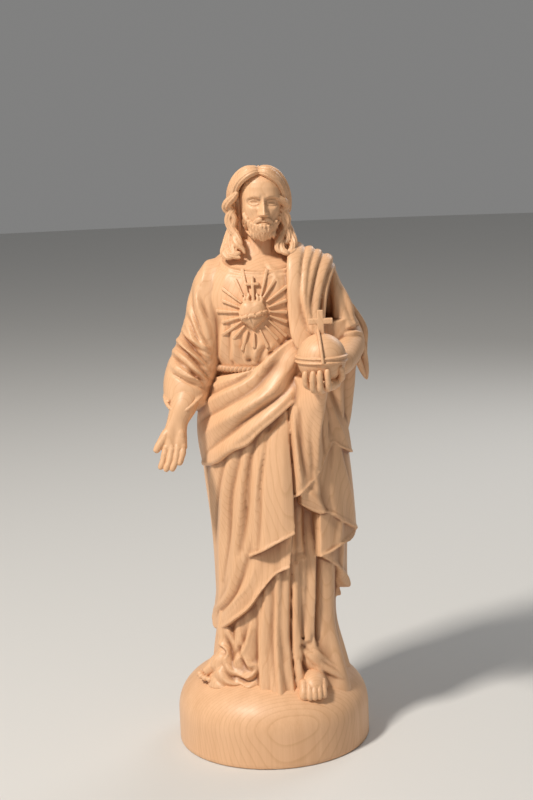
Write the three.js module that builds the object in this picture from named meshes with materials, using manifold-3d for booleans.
// A carved wooden sacred heart statue: a robed, standing figure on a domed round plinth, cut from one block.
// Millimetres, +Z up, the figure faces -Y, and the origin is the centre of the plinth's underside.
import * as THREE from 'three';
import { mergeVertices } from 'three/addons/utils/BufferGeometryUtils.js';
import Module from 'manifold-3d';

const wasm = await Module();
wasm.setup();

// Driving sizes of the plinth, in millimetres.
const PLINTH_RADIUS = 84;
const PLINTH_HEIGHT = 70;
const PLINTH_WALL = 24;
const PLINTH_CHAMFER = 1;
const DOME_ROUNDNESS = 2.5;

// The figure's own height above the plinth's crown. Its pose and carving are tables in shares of that height:
// one share is FIGURE_HEIGHT / SHARES, and a table's height of 0 is the plinth's crown.
const FIGURE_HEIGHT = 430;
const SHARES = 430;
const SHARE = FIGURE_HEIGHT / SHARES;

const WOOD = { color: 0xd9a871, roughness: 0.45, metalness: 0 };

const radians = THREE.MathUtils.degToRad;
const lerp = THREE.MathUtils.lerp;
const clamp = THREE.MathUtils.clamp;

// A point of the figure, from shares to millimetres.
const place = (x, y, height) => new THREE.Vector3(x * SHARE, y * SHARE, PLINTH_HEIGHT + height * SHARE);

// A bell of height 1 at distance 0, with its own width on each side.
const bell = (distance, before, after = before) => (
  Math.exp(-((distance / (distance < 0 ? before : after)) ** 2))
);

// Goes smoothly from 0 at low to 1 at high.
const rise = (value, low, high) => THREE.MathUtils.smoothstep(value, low, high);

// The row of a table at a key, its first column, joined by straight runs.
function row(table, key) {
  const last = table.length - 1;
  let i = 0;
  while (i < last - 1 && key > table[i + 1][0]) i += 1;
  const share = clamp((key - table[i][0]) / (table[i + 1][0] - table[i][0]), 0, 1);
  return table[i].map((value, k) => lerp(value, table[i + 1][k], share));
}

// The point at share t of a run of stations.
function along(stations, t) {
  const at = clamp(t, 0, 1) * (stations.length - 1);
  const i = Math.min(Math.floor(at), stations.length - 2);
  return stations[i].map((value, k) => lerp(value, stations[i + 1][k], at - i));
}

// Moves every vertex of a three.js geometry by a function of its old position.
function shaped(geometry, move) {
  const position = geometry.attributes.position;
  const old = new THREE.Vector3();
  for (let i = 0; i < position.count; i += 1) {
    old.fromBufferAttribute(position, i);
    const at = move(old);
    position.setXYZ(i, at.x, at.y, at.z);
  }
  return geometry;
}

// A closed geometry as a solid that can be joined and cut.
function solid(geometry) {
  const bare = geometry.clone();
  bare.deleteAttribute('normal');
  bare.deleteAttribute('uv');
  const merged = mergeVertices(bare, 1e-3);
  const triVerts = new Uint32Array(merged.index.array);
  const vertProperties = new Float32Array(merged.attributes.position.array);
  const make = () => new wasm.Manifold(new wasm.Mesh({ numProp: 3, vertProperties, triVerts }));
  const made = make();
  if (made.volume() > 0) return made;
  for (let i = 0; i < triVerts.length; i += 3) triVerts.subarray(i, i + 2).reverse();
  return make();
}

// The draped body: at each height its centre x, half width, depth to the front and depth to the back.
const BODY = [
  [-22, 9, 58, 61, 50],
  [5, 7, 54, 55, 46],
  [30, 6, 50, 50, 43],
  [70, 8, 49, 46, 41],
  [120, 10, 51, 44, 40],
  [170, 8, 54, 45, 40],
  [210, 5, 54, 44, 39],
  [240, 4, 49, 41, 36],
  [262, 4, 45, 37, 34],
  [272, 4, 48, 40, 36],
  [300, 3, 50, 40, 36],
  [328, 4, 54, 36, 34],
  [342, 5, 47, 31, 29],
  [347, 5, 42, 27, 26],
  [347.5, 5, 40.5, 25, 24.5],
  [355, 5, 24, 17, 19],
  [366, 5, 15, 13, 14],
];

// The neckline dips at the front: at each side it is this much higher, and at the nape twice as much.
const NECKLINE = { from: 328, to: 347, dip: 7 };

// A point on the draped body. The angle is 0 at the front and grows towards +X, and lift is how far it stands
// proud of the body.
function onBody(angle, height, lift = 0) {
  const [, centre, half, front, back] = row(BODY, height);
  const a = radians(angle);
  const depth = Math.cos(a) > 0 ? front : back;
  return place(centre + (half + lift) * Math.sin(a), -(depth + lift) * Math.cos(a), height);
}

// The body's front depth at a point of the frontal plane.
function frontDepth(x, height) {
  const [, centre, half, front] = row(BODY, height);
  const across = clamp((x - centre) / half, -0.98, 0.98);
  return front * Math.sqrt(1 - across * across);
}

// Upright folds of the tunic's skirt: angle at the foot, angle at the hip, width in degrees, and height.
const SKIRT_FOLDS = [
  [-80, -78, 7, 3],
  [-60, -62, 7, 3.5],
  [-41, -45, 6, 4],
  [-29, -34, 4.5, 4],
  [-18, -23, 4.5, 5],
  [-4.5, -1, 5.5, 9],
  [9.5, 14, 2.8, 8],
  [21, 24, 4, 7],
  [37, 38, 5, 3],
  [63, 62, 14, 8],
  [96, 92, 9, 4],
];
const BACK_FOLDS = { first: 118, last: 262, pitch: 18, width: 7, height: 4.5 };

// Chest folds of the tunic: angle at the belt, angle at the collar, width in degrees, and height.
const CHEST_FOLDS = [
  [-52, -40, 5, 2.2],
  [-36, -30, 4, 2.4],
  [-22, -20, 4, 1.6],
  [-8, -10, 4, 1.6],
  [6, 2, 4, 2],
  [19, 22, 4, 2.6],
];

function tunicLift(angle, height) {
  const skirt = 1 - rise(height, 120, 240);
  const flare = lerp(0.7, 1.15, 1 - rise(height, -15, 60));
  const share = clamp((height + 10) / 160, 0, 1);
  let lift = 0;
  for (const [foot, hip, width, high] of SKIRT_FOLDS) {
    lift += high * skirt * flare * bell(angle - lerp(foot, hip, share), width);
  }
  const turned = angle < 0 ? angle + 360 : angle;
  for (let at = BACK_FOLDS.first; at <= BACK_FOLDS.last; at += BACK_FOLDS.pitch) {
    lift += BACK_FOLDS.height * skirt * flare * bell(turned - at, BACK_FOLDS.width);
  }
  const chest = rise(height, 262, 272) * (1 - rise(height, 280, 320));
  for (const [belt, collar, width, high] of CHEST_FOLDS) {
    lift += high * chest * bell(angle - lerp(belt, collar, clamp((height - 265) / 75, 0, 1)), width);
  }
  return lift;
}

// The tunic from hem to collar, a ring of vertices for each row of the body's table. Its angles lie closer
// together at the front, where the folds are finer.
function tunic({ around = 37, bunching = 0.6 }) {
  const rows = BODY.length - 1;
  return shaped(new THREE.CylinderGeometry(1, 1, 1, around, rows), ({ x, y, z }) => {
    const [height, centre] = BODY[Math.round((y + 0.5) * rows)];
    if (Math.hypot(x, z) < 0.5) return place(centre, 0, height);
    const a = Math.atan2(x, z);
    const angle = THREE.MathUtils.radToDeg(a - bunching * Math.sin(a));
    const at = onBody(angle, height, tunicLift(angle, height));
    at.z += SHARE * NECKLINE.dip * rise(height, NECKLINE.from, NECKLINE.to) * (1 - Math.cos(radians(angle)));
    return at;
  });
}

// A layer of cloth between four edges on the body, each a run of [angle, height] stations, filled as a Coons
// patch. Its face is lifted by a function of the shares across and down, and its back is sunk in the body.
function cloth({ top, hem, left, right, lift, across, down, sunk = 5 }) {
  const geometry = new THREE.BoxGeometry(1, 1, 1, across, down, 1);
  const corners = [top[0], top.at(-1), hem[0], hem.at(-1)];
  return shaped(geometry, ({ x, y, z }) => {
    const u = x + 0.5;
    const v = 0.5 - y;
    const edges = [along(top, u), along(hem, u), along(left, v), along(right, v)];
    const [angle, height] = [0, 1].map((k) => (
      (1 - v) * edges[0][k] + v * edges[1][k] + (1 - u) * edges[2][k] + u * edges[3][k]
      - (1 - u) * (1 - v) * corners[0][k] - u * (1 - v) * corners[1][k]
      - (1 - u) * v * corners[2][k] - u * v * corners[3][k]
    ));
    return onBody(angle, height, z > 0 ? lift(u, v) : -sunk);
  });
}

// The sum of folds that run down a layer: share across at the top, share across at the hem, width, and height.
const folds = (table, u, v) => table.reduce(
  (sum, [head, foot, width, high]) => sum + high * bell(u - lerp(head, foot, v), width), 0,
);

const FORWARD = new THREE.Vector3(0, -1, 0);
const UPWARD = new THREE.Vector3(0, 0, 1);

// A solid drawn along a run of [x, y, height] points with rounded ends. Its radius is a function of the share
// along and of the angle around, whose zero faces hint. Its rings crowd towards the ends, unless even is 1.
function limb(points, radius, { around = 8, steps = 6, hint = FORWARD, blunt = 0.12, even = 0 } = {}) {
  const curve = new THREE.CatmullRomCurve3(points.map((p) => place(...p)));
  return shaped(new THREE.SphereGeometry(1, around, steps + 2), ({ x, y, z }) => {
    const s = lerp((1 - clamp(y, -1, 1)) / 2, Math.acos(clamp(y, -1, 1)) / Math.PI, even);
    const centre = curve.getPoint(s);
    const way = curve.getTangent(s);
    const side = new THREE.Vector3().crossVectors(way, hint).normalize();
    const up = new THREE.Vector3().crossVectors(side, way);
    const end = Math.min(1, Math.min(s, 1 - s) / blunt);
    const ring = Math.hypot(x, z) < 1e-6 ? 0 : Math.sqrt(1 - (1 - end) ** 2);
    const a = Math.atan2(x, z);
    const r = radius(s, a) * ring * SHARE;
    return centre.addScaledVector(up, r * Math.cos(a)).addScaledVector(side, r * Math.sin(a));
  });
}

// A ball at a centre in shares, with a radius for each axis that may depend on the direction.
function ball(centre, radii, around, up, swell = () => 1) {
  return shaped(new THREE.SphereGeometry(1, around, up), (d) => {
    const k = swell(d.x, -d.z, d.y);
    const out = [radii[0] * d.x * k, -radii[1] * d.z * k, radii[2] * d.y * k];
    return place(...centre.map((value, axis) => value + out[axis]));
  });
}

// A bar between two points of the figure with a square section that may change its half width and half depth.
function bar(from, to, width, depth, farWidth = width, farDepth = depth) {
  const start = place(...from);
  const end = place(...to);
  const way = end.clone().sub(start).normalize();
  const out = new THREE.Vector3(0, -1, 0);
  const side = new THREE.Vector3().crossVectors(way, out).normalize();
  return shaped(new THREE.BoxGeometry(1, 1, 1), ({ x, y, z }) => {
    const t = y + 0.5;
    return start.clone().lerp(end, t)
      .addScaledVector(side, 2 * x * SHARE * lerp(width, farWidth, t))
      .addScaledVector(out, 2 * z * SHARE * lerp(depth, farDepth, t));
  });
}

// The plinth: a straight wall under a flattened dome, turned as one.
function plinth({ around = 36, rings = 5 }) {
  const profile = [
    new THREE.Vector2(0, 0),
    new THREE.Vector2(PLINTH_RADIUS - PLINTH_CHAMFER, 0),
    new THREE.Vector2(PLINTH_RADIUS, PLINTH_CHAMFER),
  ];
  for (let i = 0; i <= rings; i += 1) {
    const a = (i / rings) * (Math.PI / 2);
    profile.push(new THREE.Vector2(
      i === rings ? 0 : PLINTH_RADIUS * Math.cos(a) ** (2 / DOME_ROUNDNESS),
      PLINTH_WALL + (PLINTH_HEIGHT - PLINTH_WALL) * Math.sin(a) ** (2 / DOME_ROUNDNESS),
    ));
  }
  return new THREE.LatheGeometry(profile, around).rotateX(Math.PI / 2);
}

// The mantle, layer by layer from the ones that lie deepest.
const MANTLE = {
  cascade_low: {
    top: [[16, 225], [60, 225], [96, 225]],
    left: [[16, 225], [16, 160], [18, 104]],
    right: [[96, 225], [98, 130], [90, 60]],
    hem: [[18, 104], [31, 102], [40, 100], [50, 94], [66, 84], [78, 68], [90, 60]],
    lift: (u, v) => 4 + 8 * rise(u, 0.6, 1) * v + folds([
      [0.12, 0.12, 0.07, 2.5], [0.26, 0.26, 0.06, -2], [0.5, 0.5, 0.1, 2.5], [0.8, 0.8, 0.1, 2],
    ], u, v),
    across: 12, down: 3,
  },
  cascade_return: {
    top: [[34, 200], [92, 200]],
    left: [[34, 200], [36, 140], [36, 100]],
    right: [[92, 200], [96, 150], [88, 113]],
    hem: [[36, 100], [45, 103], [57, 107], [72, 109], [88, 113]],
    lift: (u, v) => 5 + 12 * u * v + folds([[0.25, 0.3, 0.16, 2.5], [0.6, 0.62, 0.1, -2]], u, v),
    across: 8, down: 3,
  },
  cascade_upper: {
    top: [[18, 225], [58, 225], [100, 225]],
    left: [[18, 225], [19, 180], [20, 148]],
    right: [[100, 225], [98, 165], [88, 113]],
    hem: [[20, 148], [34, 139], [44, 138], [56, 129], [72, 120], [88, 113]],
    lift: (u, v) => 7 + 11 * u * u * v + folds([
      [0.1, 0.1, 0.07, 1.5], [0.4, 0.36, 0.07, -2], [0.62, 0.62, 0.12, 3], [0.85, 0.86, 0.08, -1.5],
    ], u, v),
    across: 11, down: 4,
  },
  arm_cloak: {
    top: [[52, 296], [88, 300], [126, 296]],
    left: [[52, 296], [56, 245], [62, 196]],
    right: [[126, 296], [124, 240], [116, 190]],
    hem: [[62, 196], [88, 186], [116, 190]],
    lift: (u, v) => 6 + folds([[0.22, 0.24, 0.07, 3], [0.45, 0.45, 0.07, 3], [0.66, 0.64, 0.07, 2.5]], u, v)
      + along([[25], [36], [29], [17], [4]], v)[0] * rise(u, 0, 0.42) * (1 - rise(u, 0.65, 1.05)),
    across: 11, down: 5,
  },
  hand_drape: {
    top: [[20, 256], [28, 255], [38, 255], [52, 258], [88, 258]],
    left: [[20, 256], [16, 225], [14, 190], [13, 155]],
    right: [[88, 258], [84, 226], [79, 183]],
    hem: [[13, 155], [18, 157], [26, 164], [36, 174], [46, 189], [54, 197], [62, 191], [79, 183]],
    lift: (u, v) => lerp(4, 11, rise(v + 1.5 * u, 0.15, 0.6)) + 5 * rise(u, 0.7, 1) * v
      + 36 * (1 - v) ** 1.6 * bell(u - 0.42, 0.16, 0.22) + folds([
      [0.1, 0.12, 0.06, 2.5], [0.24, 0.26, 0.05, 2], [0.34, 0.4, 0.05, 1.8], [0.44, 0.6, 0.06, 3.5],
    ], u, v),
    across: 14, down: 5,
  },
  front_panel: {
    top: [[-118, 195], [-60, 200], [-10, 215], [16, 232]],
    left: [[-118, 195], [-112, 120], [-100, 44]],
    right: [[16, 232], [14, 195], [12, 140], [9, 95]],
    hem: [[-100, 44], [-78, 33], [-56, 38], [-39, 49], [-26, 60], [-15, 75], [-3, 89], [9, 95]],
    lift: (u, v) => 5 + 2 * rise(v, 0.75, 1) + 3 * rise(u, 0.85, 1) + folds([
      [0.3125, 0.3125, 0.045, 2], [0.4375, 0.4375, 0.045, 3], [0.5625, 0.5625, 0.045, 3],
      [0.6875, 0.6875, 0.045, 3], [0.8125, 0.8125, 0.045, 2.5],
    ], u, v),
    across: 16, down: 4,
  },
  front_fold: {
    top: [[-16, 200], [2, 212], [16, 226]],
    left: [[-16, 200], [-24, 160], [-27, 103]],
    right: [[16, 226], [14, 185], [12, 125]],
    hem: [[-27, 103], [-14, 110], [-1, 118], [12, 125]],
    lift: (u, v) => lerp(3, lerp(7, 12, v), rise(u, 0, 0.45)) + 3 * v * v,
    across: 6, down: 5,
  },
  hem_band: {
    top: [[20, 30], [36, 20], [58, 12], [84, 4]],
    left: [[20, 30], [21, 20], [22, 12]],
    right: [[84, 4], [84, -4], [84, -13]],
    hem: [[22, 12], [34, 1], [48, -9], [64, -13], [84, -13]],
    lift: (u, v) => lerp(6, 9, v) - 2 * u,
    across: 6, down: 1,
  },
  back_drape: {
    top: [[84, 350], [108, 354], [140, 346], [180, 322], [215, 290], [246, 250], [262, 222]],
    left: [[84, 350], [98, 270], [100, 180], [96, 110], [92, 52]],
    right: [[262, 222], [266, 150], [262, 92], [258, 40]],
    hem: [[92, 52], [130, 46], [170, 38], [215, 34], [258, 40]],
    lift: (u, v) => 6 + folds([
      [0.06, 0.1, 0.05, 3], [0.2, 0.26, 0.045, 3.5], [0.36, 0.44, 0.045, 4], [0.52, 0.6, 0.045, 4],
      [0.68, 0.76, 0.045, 3.5], [0.86, 0.92, 0.05, 3],
    ], u, v),
    across: 17, down: 4,
  },
  shoulder_lining: {
    top: [[34, 354], [50, 356], [66, 354]],
    left: [[34, 354], [28, 340], [24, 319], [24, 296], [28, 276]],
    right: [[66, 354], [44, 342], [36, 320], [42, 296], [52, 276]],
    hem: [[28, 276], [40, 276], [52, 276]],
    lift: (u, v) => 4 + folds([[0.35, 0.35, 0.2, 2.6]], u, v),
    across: 5, down: 5,
  },
  shoulder_fall: {
    top: [[70, 360], [90, 358], [112, 354]],
    left: [[70, 360], [46, 348], [32, 331], [38, 310], [49, 288], [58, 268]],
    right: [[112, 354], [90, 345], [69, 336], [57, 324], [56, 306], [64, 286], [74, 268]],
    hem: [[58, 268], [66, 268], [74, 268]],
    lift: (u, v) => lerp(14, 9, rise(v, 0, 0.45)) + folds([
      [0.1, 0.1, 0.12, 2], [0.48, 0.48, 0.13, 2.5], [0.9, 0.9, 0.12, 2.5],
    ], u, v),
    across: 8, down: 6,
  },
  waist_sweep: {
    top: [[-108, 238], [-70, 252], [-38, 258], [-12, 263], [5, 274], [24, 285], [42, 290]],
    left: [[-108, 238], [-98, 205], [-76, 177]],
    right: [[42, 290], [40, 268], [34, 246]],
    hem: [[-76, 177], [-50, 183], [-30, 195], [-17, 201], [-5, 213], [14, 229], [34, 246]],
    lift: (u, v) => lerp(4, lerp(7, 12, u), rise(v, 0, 0.4)) + folds([
      [0.375, 0.375, 0.08, 3], [0.625, 0.625, 0.08, 3.5], [0.875, 0.9, 0.08, 4],
    ], v, u),
    across: 11, down: 8,
  },
};

// The cord that ties the tunic, a ring of the body's own outline.
function belt({ height = 263, thick = 2.4, proud = 2, around = 18 }) {
  return shaped(new THREE.TorusGeometry(1, 0.25, 3, around), ({ x, y, z }) => {
    const out = ((Math.hypot(x, y) - 1) / 0.25) * thick;
    return onBody(THREE.MathUtils.radToDeg(Math.atan2(x, -y)), height + (z / 0.25) * thick, proud + out);
  });
}

// A radius along a limb from a run of stations.
const tapered = (...stations) => (s) => along(stations.map((r) => [r]), s)[0];

// A sleeve's radius along its length, with the ridges of its gathered folds.
const gathered = (base, ridges) => (s) => ridges.reduce(
  (sum, [at, width, high]) => sum + high * bell(s - at, width), base(s),
);

// The right arm reaches down and out, with its palm forward.
function rightArm() {
  const sleeve = limb(
    [
      [-18, 0, 346], [-30, -1, 336], [-38.5, -5, 319], [-43, -8, 297], [-51, -10, 274], [-60, -14, 253],
      [-63, -20, 239], [-64, -26, 228],
    ],
    gathered(tapered(11, 18, 19.5, 20, 21.5, 21.5, 19, 14), [
      [0.52, 0.03, 1.5], [0.62, 0.03, 2], [0.71, 0.03, 2], [0.8, 0.03, 1.5],
    ]),
    { around: 10, steps: 10, blunt: 0.1, even: 1 },
  );
  const wide = tapered(12.5, 11.5, 9, 10.4, 10.6);
  const flattened = (s, a) => 1 - 0.52 * rise(s, 0.3, 0.8) * Math.cos(a) ** 2;
  const arm = limb(
    [[-60, -20, 250], [-65, -32, 234], [-71, -39, 220], [-73.5, -43, 207], [-73.5, -45, 195]],
    (s, a) => wide(s) * flattened(s, a), { around: 8, steps: 6, blunt: 0.1, even: 0.6 },
  );
  const knuckles = 199;
  const fingers = [[-81.5, -85, 182], [-76.5, -79.5, 180], [-71.3, -73, 180.5], [-66.3, -66.5, 187]].map(
    ([x, tipX, tipH]) => limb(
      [[x, -44, knuckles], [(x + tipX) / 2, -48.5, (knuckles + tipH) / 2], [tipX, -50, tipH]],
      tapered(2.7, 2.4), { around: 5, steps: 2, blunt: 0.2 },
    ),
  );
  const thumb = limb(
    [[-77, -40, 213], [-85, -44, 205], [-92, -47, 195]],
    tapered(4.8, 2.9), { around: 5, steps: 2, blunt: 0.2 },
  );
  return [sleeve, arm, ...fingers, thumb];
}

// The globe, its band and strap, and the cross that stands on it, held in the figure's left hand.
const ORB = { x: 50, y: -70, height: 274, radius: 20, band: 2.6, proud: 1.6, sunk: 3, strap: 2.8 };
const ORB_CROSS = { height: 19, reach: 10, thick: 2.2, depth: 2, arm: 10.5 };

function orb() {
  const globe = ball([ORB.x, ORB.y, ORB.height], [ORB.radius, ORB.radius, ORB.radius], 14, 8);
  const inner = ORB.radius - ORB.sunk;
  const outer = ORB.radius + ORB.proud;
  const section = [[inner, -1], [outer, -1], [outer, 1], [inner, 1], [inner, -1]];
  const ring = new THREE.LatheGeometry(section.map(([r, side]) => new THREE.Vector2(r, side * ORB.band)), 14);
  const band = shaped(ring, ({ x, y, z }) => place(ORB.x + x, ORB.y - z, ORB.height + y));
  const strap = shaped(new THREE.BoxGeometry(1, 1, 1, 1, 7, 1), ({ x, y, z }) => {
    const a = Math.PI * (0.5 - y);
    const r = z > 0 ? ORB.radius + 1 : inner;
    const across = 2 * ORB.strap * x - 2 * Math.sin(a) ** 2;
    return place(ORB.x + across, ORB.y - r * Math.cos(a), ORB.height + r * Math.sin(a));
  });
  const { height, reach, thick, depth, arm } = ORB_CROSS;
  const crown = ORB.height + ORB.radius;
  const cross = [
    bar([ORB.x, ORB.y, crown - 2], [ORB.x, ORB.y, crown + height], 1.35 * thick, depth, thick),
    bar([ORB.x - reach, ORB.y, crown + arm], [ORB.x + reach, ORB.y, crown + arm], thick, depth),
  ];
  return [globe, band, strap, ...cross];
}

// The left arm bends forward, with the globe on its hand.
function leftArm() {
  const sleeve = limb(
    [
      [34, 0, 334], [50, 1, 334], [60, 2, 314], [69, 1, 294], [73, -4, 280], [72, -20, 271],
      [67, -36, 266], [62, -48, 262],
    ],
    gathered(tapered(14, 17, 17, 18.5, 19, 17, 13.5, 10), [
      [0.4, 0.03, 1.2], [0.54, 0.03, 1.5], [0.66, 0.03, 1.5],
    ]),
    { around: 10, steps: 9, blunt: 0.1, even: 1 },
  );
  const mouth = limb(
    [[84, 0, 292], [88, -10, 280], [89.5, -17, 262], [89.5, -20, 247]],
    (s, a) => lerp(7, 2.4, s) * (1 - 0.4 * Math.sin(a) ** 2), { around: 8, steps: 4, blunt: 0.15 },
  );
  const near = ([dx, dy, dh]) => [ORB.x + dx, ORB.y + dy, ORB.height + dh];
  const wrist = limb(
    [[64, -38, 264], near([8, 16, -16]), near([4, 6, -19])], tapered(10, 8.5), { around: 8, steps: 2 },
  );
  const palm = ball([ORB.x + 1, ORB.y, ORB.height - ORB.radius], [14, 15, 7], 10, 5);
  const fingers = [
    [[-7, -6, -21], [-12, -15, -16], [-12.7, -17, -6]],
    [[-3, -8, -23], [-3.7, -19, -18], [-4.2, -21.8, -4.5]],
    [[3, -8, -23], [4, -19, -18], [4, -21.5, -4]],
    [[8, -2, -20], [13.5, -10, -13], [14, -12.5, -3]],
  ].map((points) => limb(points.map(near), tapered(3.6, 3), { around: 5, steps: 3, blunt: 0.2 }));
  return [sleeve, mouth, wrist, palm, ...fingers];
}

// The head: its middle, and half its width, depth and height without the hair.
const HEAD = { x: 4, y: -8, height: 399, half: 19, depth: 22, tall: 28 };

function head() {
  const { x, y, height, half, depth, tall } = HEAD;
  const skull = shaped(new THREE.SphereGeometry(1, 18, 13), (d) => {
    const a = Math.atan2(d.x, d.z);
    const turned = a - 0.4 * Math.sin(a);
    const round = Math.hypot(d.x, d.z);
    const [dx, out, dz] = [round * Math.sin(turned), round * Math.cos(turned), d.y];
    const socket = bell(dz - 0.06, 0.15) * (bell(dx - 0.42, 0.24) + bell(dx + 0.42, 0.24));
    const brow = bell(dz - 0.27, 0.12);
    const k = 1 + rise(out, 0.2, 0.8) * (0.04 * brow - 0.11 * socket);
    return place(x + half * dx * k, y - depth * out * k, height + tall * dz);
  });
  const front = y - depth;
  const nose = limb(
    [[x, front + 2, height + 6], [x, front - 1, height - 2], [x, front - 3.5, height - 11]],
    tapered(2.2, 3.8), { around: 6, steps: 3, blunt: 0.2 },
  );
  const beard = ball([x, y - 6.5, height - 16], [16.5, 16.5, 16], 13, 8, (dx, dy, dz) => {
    const moustache = bell(dz - 0.22 + 0.5 * dx * dx, 0.14);
    const mouth = bell(dz + 0.04 + 0.3 * dx * dx, 0.13) * (1 - rise(Math.abs(dx), 0.4, 0.7));
    const chin = 0.1 * rise(-dz, 0.4, 0.9) * rise(Math.abs(dx), 0.1, 0.6);
    return 1 - chin + rise(-dy, 0.2, 0.7) * (0.07 * moustache - 0.09 * mouth);
  });
  const neck = limb(
    [[x + 0.5, 3, height - 11], [x, 0, (height + 337) / 2], [x, -2, 346]], tapered(12.5, 14.5),
    { around: 10, steps: 3, blunt: 0.05 },
  );
  return [skull, nose, beard, neck];
}

// Hair, parted in the middle, that falls to the shoulders in wavy locks: at each height over the head's middle its
// centre y, half width, half depth, and the half angle left open for the face.
const HAIR = [
  [-62, 12, 15, 13, 150],
  [-51, 8, 20, 17, 112],
  [-42, 3, 28, 21, 76],
  [-33, 1, 28.5, 22, 64],
  [-23, 0, 26, 22, 56],
  [-11, -1, 27, 24, 52],
  [1, -2, 27.5, 25, 50],
  [12, -3, 25, 25, 36],
  [18, -4, 21.5, 23.5, 16],
  [25, -5, 16, 18, 0],
  [30, -5, 8, 9, 0],
  [31, -5, 4, 5, 0],
];
const LOCKS = { count: 9, depth: 1.6, wave: 0.35, pitch: 26 };

function hair({ around = 26 }) {
  const rows = HAIR.length - 1;
  return shaped(new THREE.CylinderGeometry(1, 1, 1, around, rows), ({ x, y, z }) => {
    const [over, middle, half, deep, open] = HAIR[Math.round((y + 0.5) * rows)];
    const height = HEAD.height + over;
    if (Math.hypot(x, z) < 0.5) return place(HEAD.x, middle, height);
    const a = Math.atan2(x, z);
    const side = Math.abs(THREE.MathUtils.radToDeg(a));
    const wave = LOCKS.wave * Math.sin((2 * Math.PI * height) / LOCKS.pitch);
    const lock = LOCKS.depth * Math.cos(LOCKS.count * (Math.abs(a) + wave)) * rise(side, open, open + 12);
    const parting = 2 * bell(a, 0.16) * rise(over, 12, 18);
    const opening = 0.35 * (1 - rise(side, open - 12, open + 3));
    const temple = 0.2 * (1 - rise(side, open, open + 40)) * rise(open, 0, 30);
    const k = 1 - opening - temple + (lock - parting) / half;
    return place(HEAD.x + half * k * Math.sin(a), middle - deep * k * Math.cos(a), height);
  });
}

// The radiant heart on the chest: rays, a ring of thorns, flames and a small cross.
const EMBLEM = { x: -4.5, height: 310, cover: 0.8 };
const CROSS = { foot: 14, tall: 16, arm: 23.5, reach: 5, thick: 1.5, depth: 3.5 };
const RAYS = { count: 20, near: 12, far: 27, longer: 5, width: 1.5, proud: 2.2, sunk: 2.5, gap: 0.5 };

function emblem() {
  const chest = (x, h) => frontDepth(x, h) + EMBLEM.cover;
  const rays = [];
  for (let i = 0; i < RAYS.count; i += 1) {
    const a = (2 * Math.PI * (i + 0.5)) / RAYS.count;
    const far = RAYS.far + (i % 2 ? RAYS.longer : 0);
    if (Math.min(a, 2 * Math.PI - a) < RAYS.gap) continue;
    rays.push(shaped(new THREE.BoxGeometry(1, 1, 1), ({ x, y, z }) => {
      const r = lerp(RAYS.near, far, y + 0.5);
      const w = 2 * x * RAYS.width * lerp(0.6, 1, y + 0.5);
      const px = EMBLEM.x + r * Math.sin(a) + w * Math.cos(a);
      const ph = EMBLEM.height + r * Math.cos(a) - w * Math.sin(a);
      return place(px, -chest(px, ph) - (z > 0 ? RAYS.proud : -RAYS.sunk), ph);
    }));
  }
  const depth = chest(EMBLEM.x, EMBLEM.height);
  const heart = ball([EMBLEM.x, -depth - 1, EMBLEM.height - 2], [11, 6.5, 12.5], 10, 7, (dx, dy, dz) => (
    1 - 0.4 * rise(-dz, 0.1, 1) * Math.abs(dx) ** 0.6 - 0.22 * bell(dx, 0.24) * rise(dz, 0.3, 0.9)
    + 0.1 * bell(dz - 0.16 * dx, 0.16)
  ));
  const flames = limb(
    [[5, 1.5], [12, 1.5], [19, 0]].map(([up, out]) => [EMBLEM.x, -depth - out, EMBLEM.height + up]),
    (s, a) => lerp(6, 1.5, s) * (1 - 0.55 * Math.cos(a) ** 2), { around: 8, steps: 2, blunt: 0.2 },
  );
  const onChest = (across, up) => {
    const h = EMBLEM.height + up;
    return [EMBLEM.x + across, 1 - chest(EMBLEM.x, h), h];
  };
  const cross = [
    bar(onChest(0, CROSS.foot), onChest(0, CROSS.foot + CROSS.tall), CROSS.thick, CROSS.depth),
    bar(onChest(-CROSS.reach, CROSS.arm), onChest(CROSS.reach, CROSS.arm), CROSS.thick, CROSS.depth),
  ];
  return [...rays, heart, flames, ...cross];
}

// The feet: the left one shows its toes under the hem, the right one is turned out and half covered.
function feet() {
  const toe = { around: 5, steps: 2, blunt: 0.3, hint: UPWARD };
  const left = [
    ball([36, -50, -11], [12.5, 18, 10], 10, 5),
    ...[[28.3, 4, -68], [33.8, 3, -69], [38.3, 2.8, -68], [42.4, 2.7, -66], [46, 2.6, -62.5]].map(
      ([x, r, y]) => limb([[x, y + 11, -11], [x, y + 4, -12], [x, y, -16]], () => r, toe),
    ),
  ];
  const right = [
    limb([[-34, -18, 12], [-48, -24, 3], [-61, -30, -4]], tapered(10.5, 6.5), { steps: 3, blunt: 0.25 }),
    ...[[-61, -26, -2], [-61, -31, -3], [-57, -35, -4]].map((middle) => ball(middle, [4.2, 3, 3.2], 5, 4)),
  ];
  return [...left, ...right];
}

const pieces = [
  plinth({}),
  tunic({}),
  ...Object.values(MANTLE).map(cloth),
  belt({}),
  ...rightArm(),
  ...leftArm(),
  ...orb(),
  ...head(),
  hair({}),
  ...emblem(),
  ...feet(),
];

// One block of wood: everything joined, and the small hollows that are shut inside it filled.
const carved = pieces.map(solid).reduce((whole, piece) => whole.add(piece));
const block = carved.decompose().reduce((most, body) => (body.volume() > most.volume() ? body : most));

const { vertProperties, triVerts } = block.getMesh();
const geometry = new THREE.BufferGeometry();
geometry.setAttribute('position', new THREE.BufferAttribute(vertProperties, 3));
geometry.setIndex(new THREE.BufferAttribute(triVerts, 1));
geometry.computeVertexNormals();

const statue = new THREE.Mesh(geometry, new THREE.MeshStandardMaterial(WOOD));
statue.name = 'statue';

const group = new THREE.Group();
group.add(statue);

export default group;
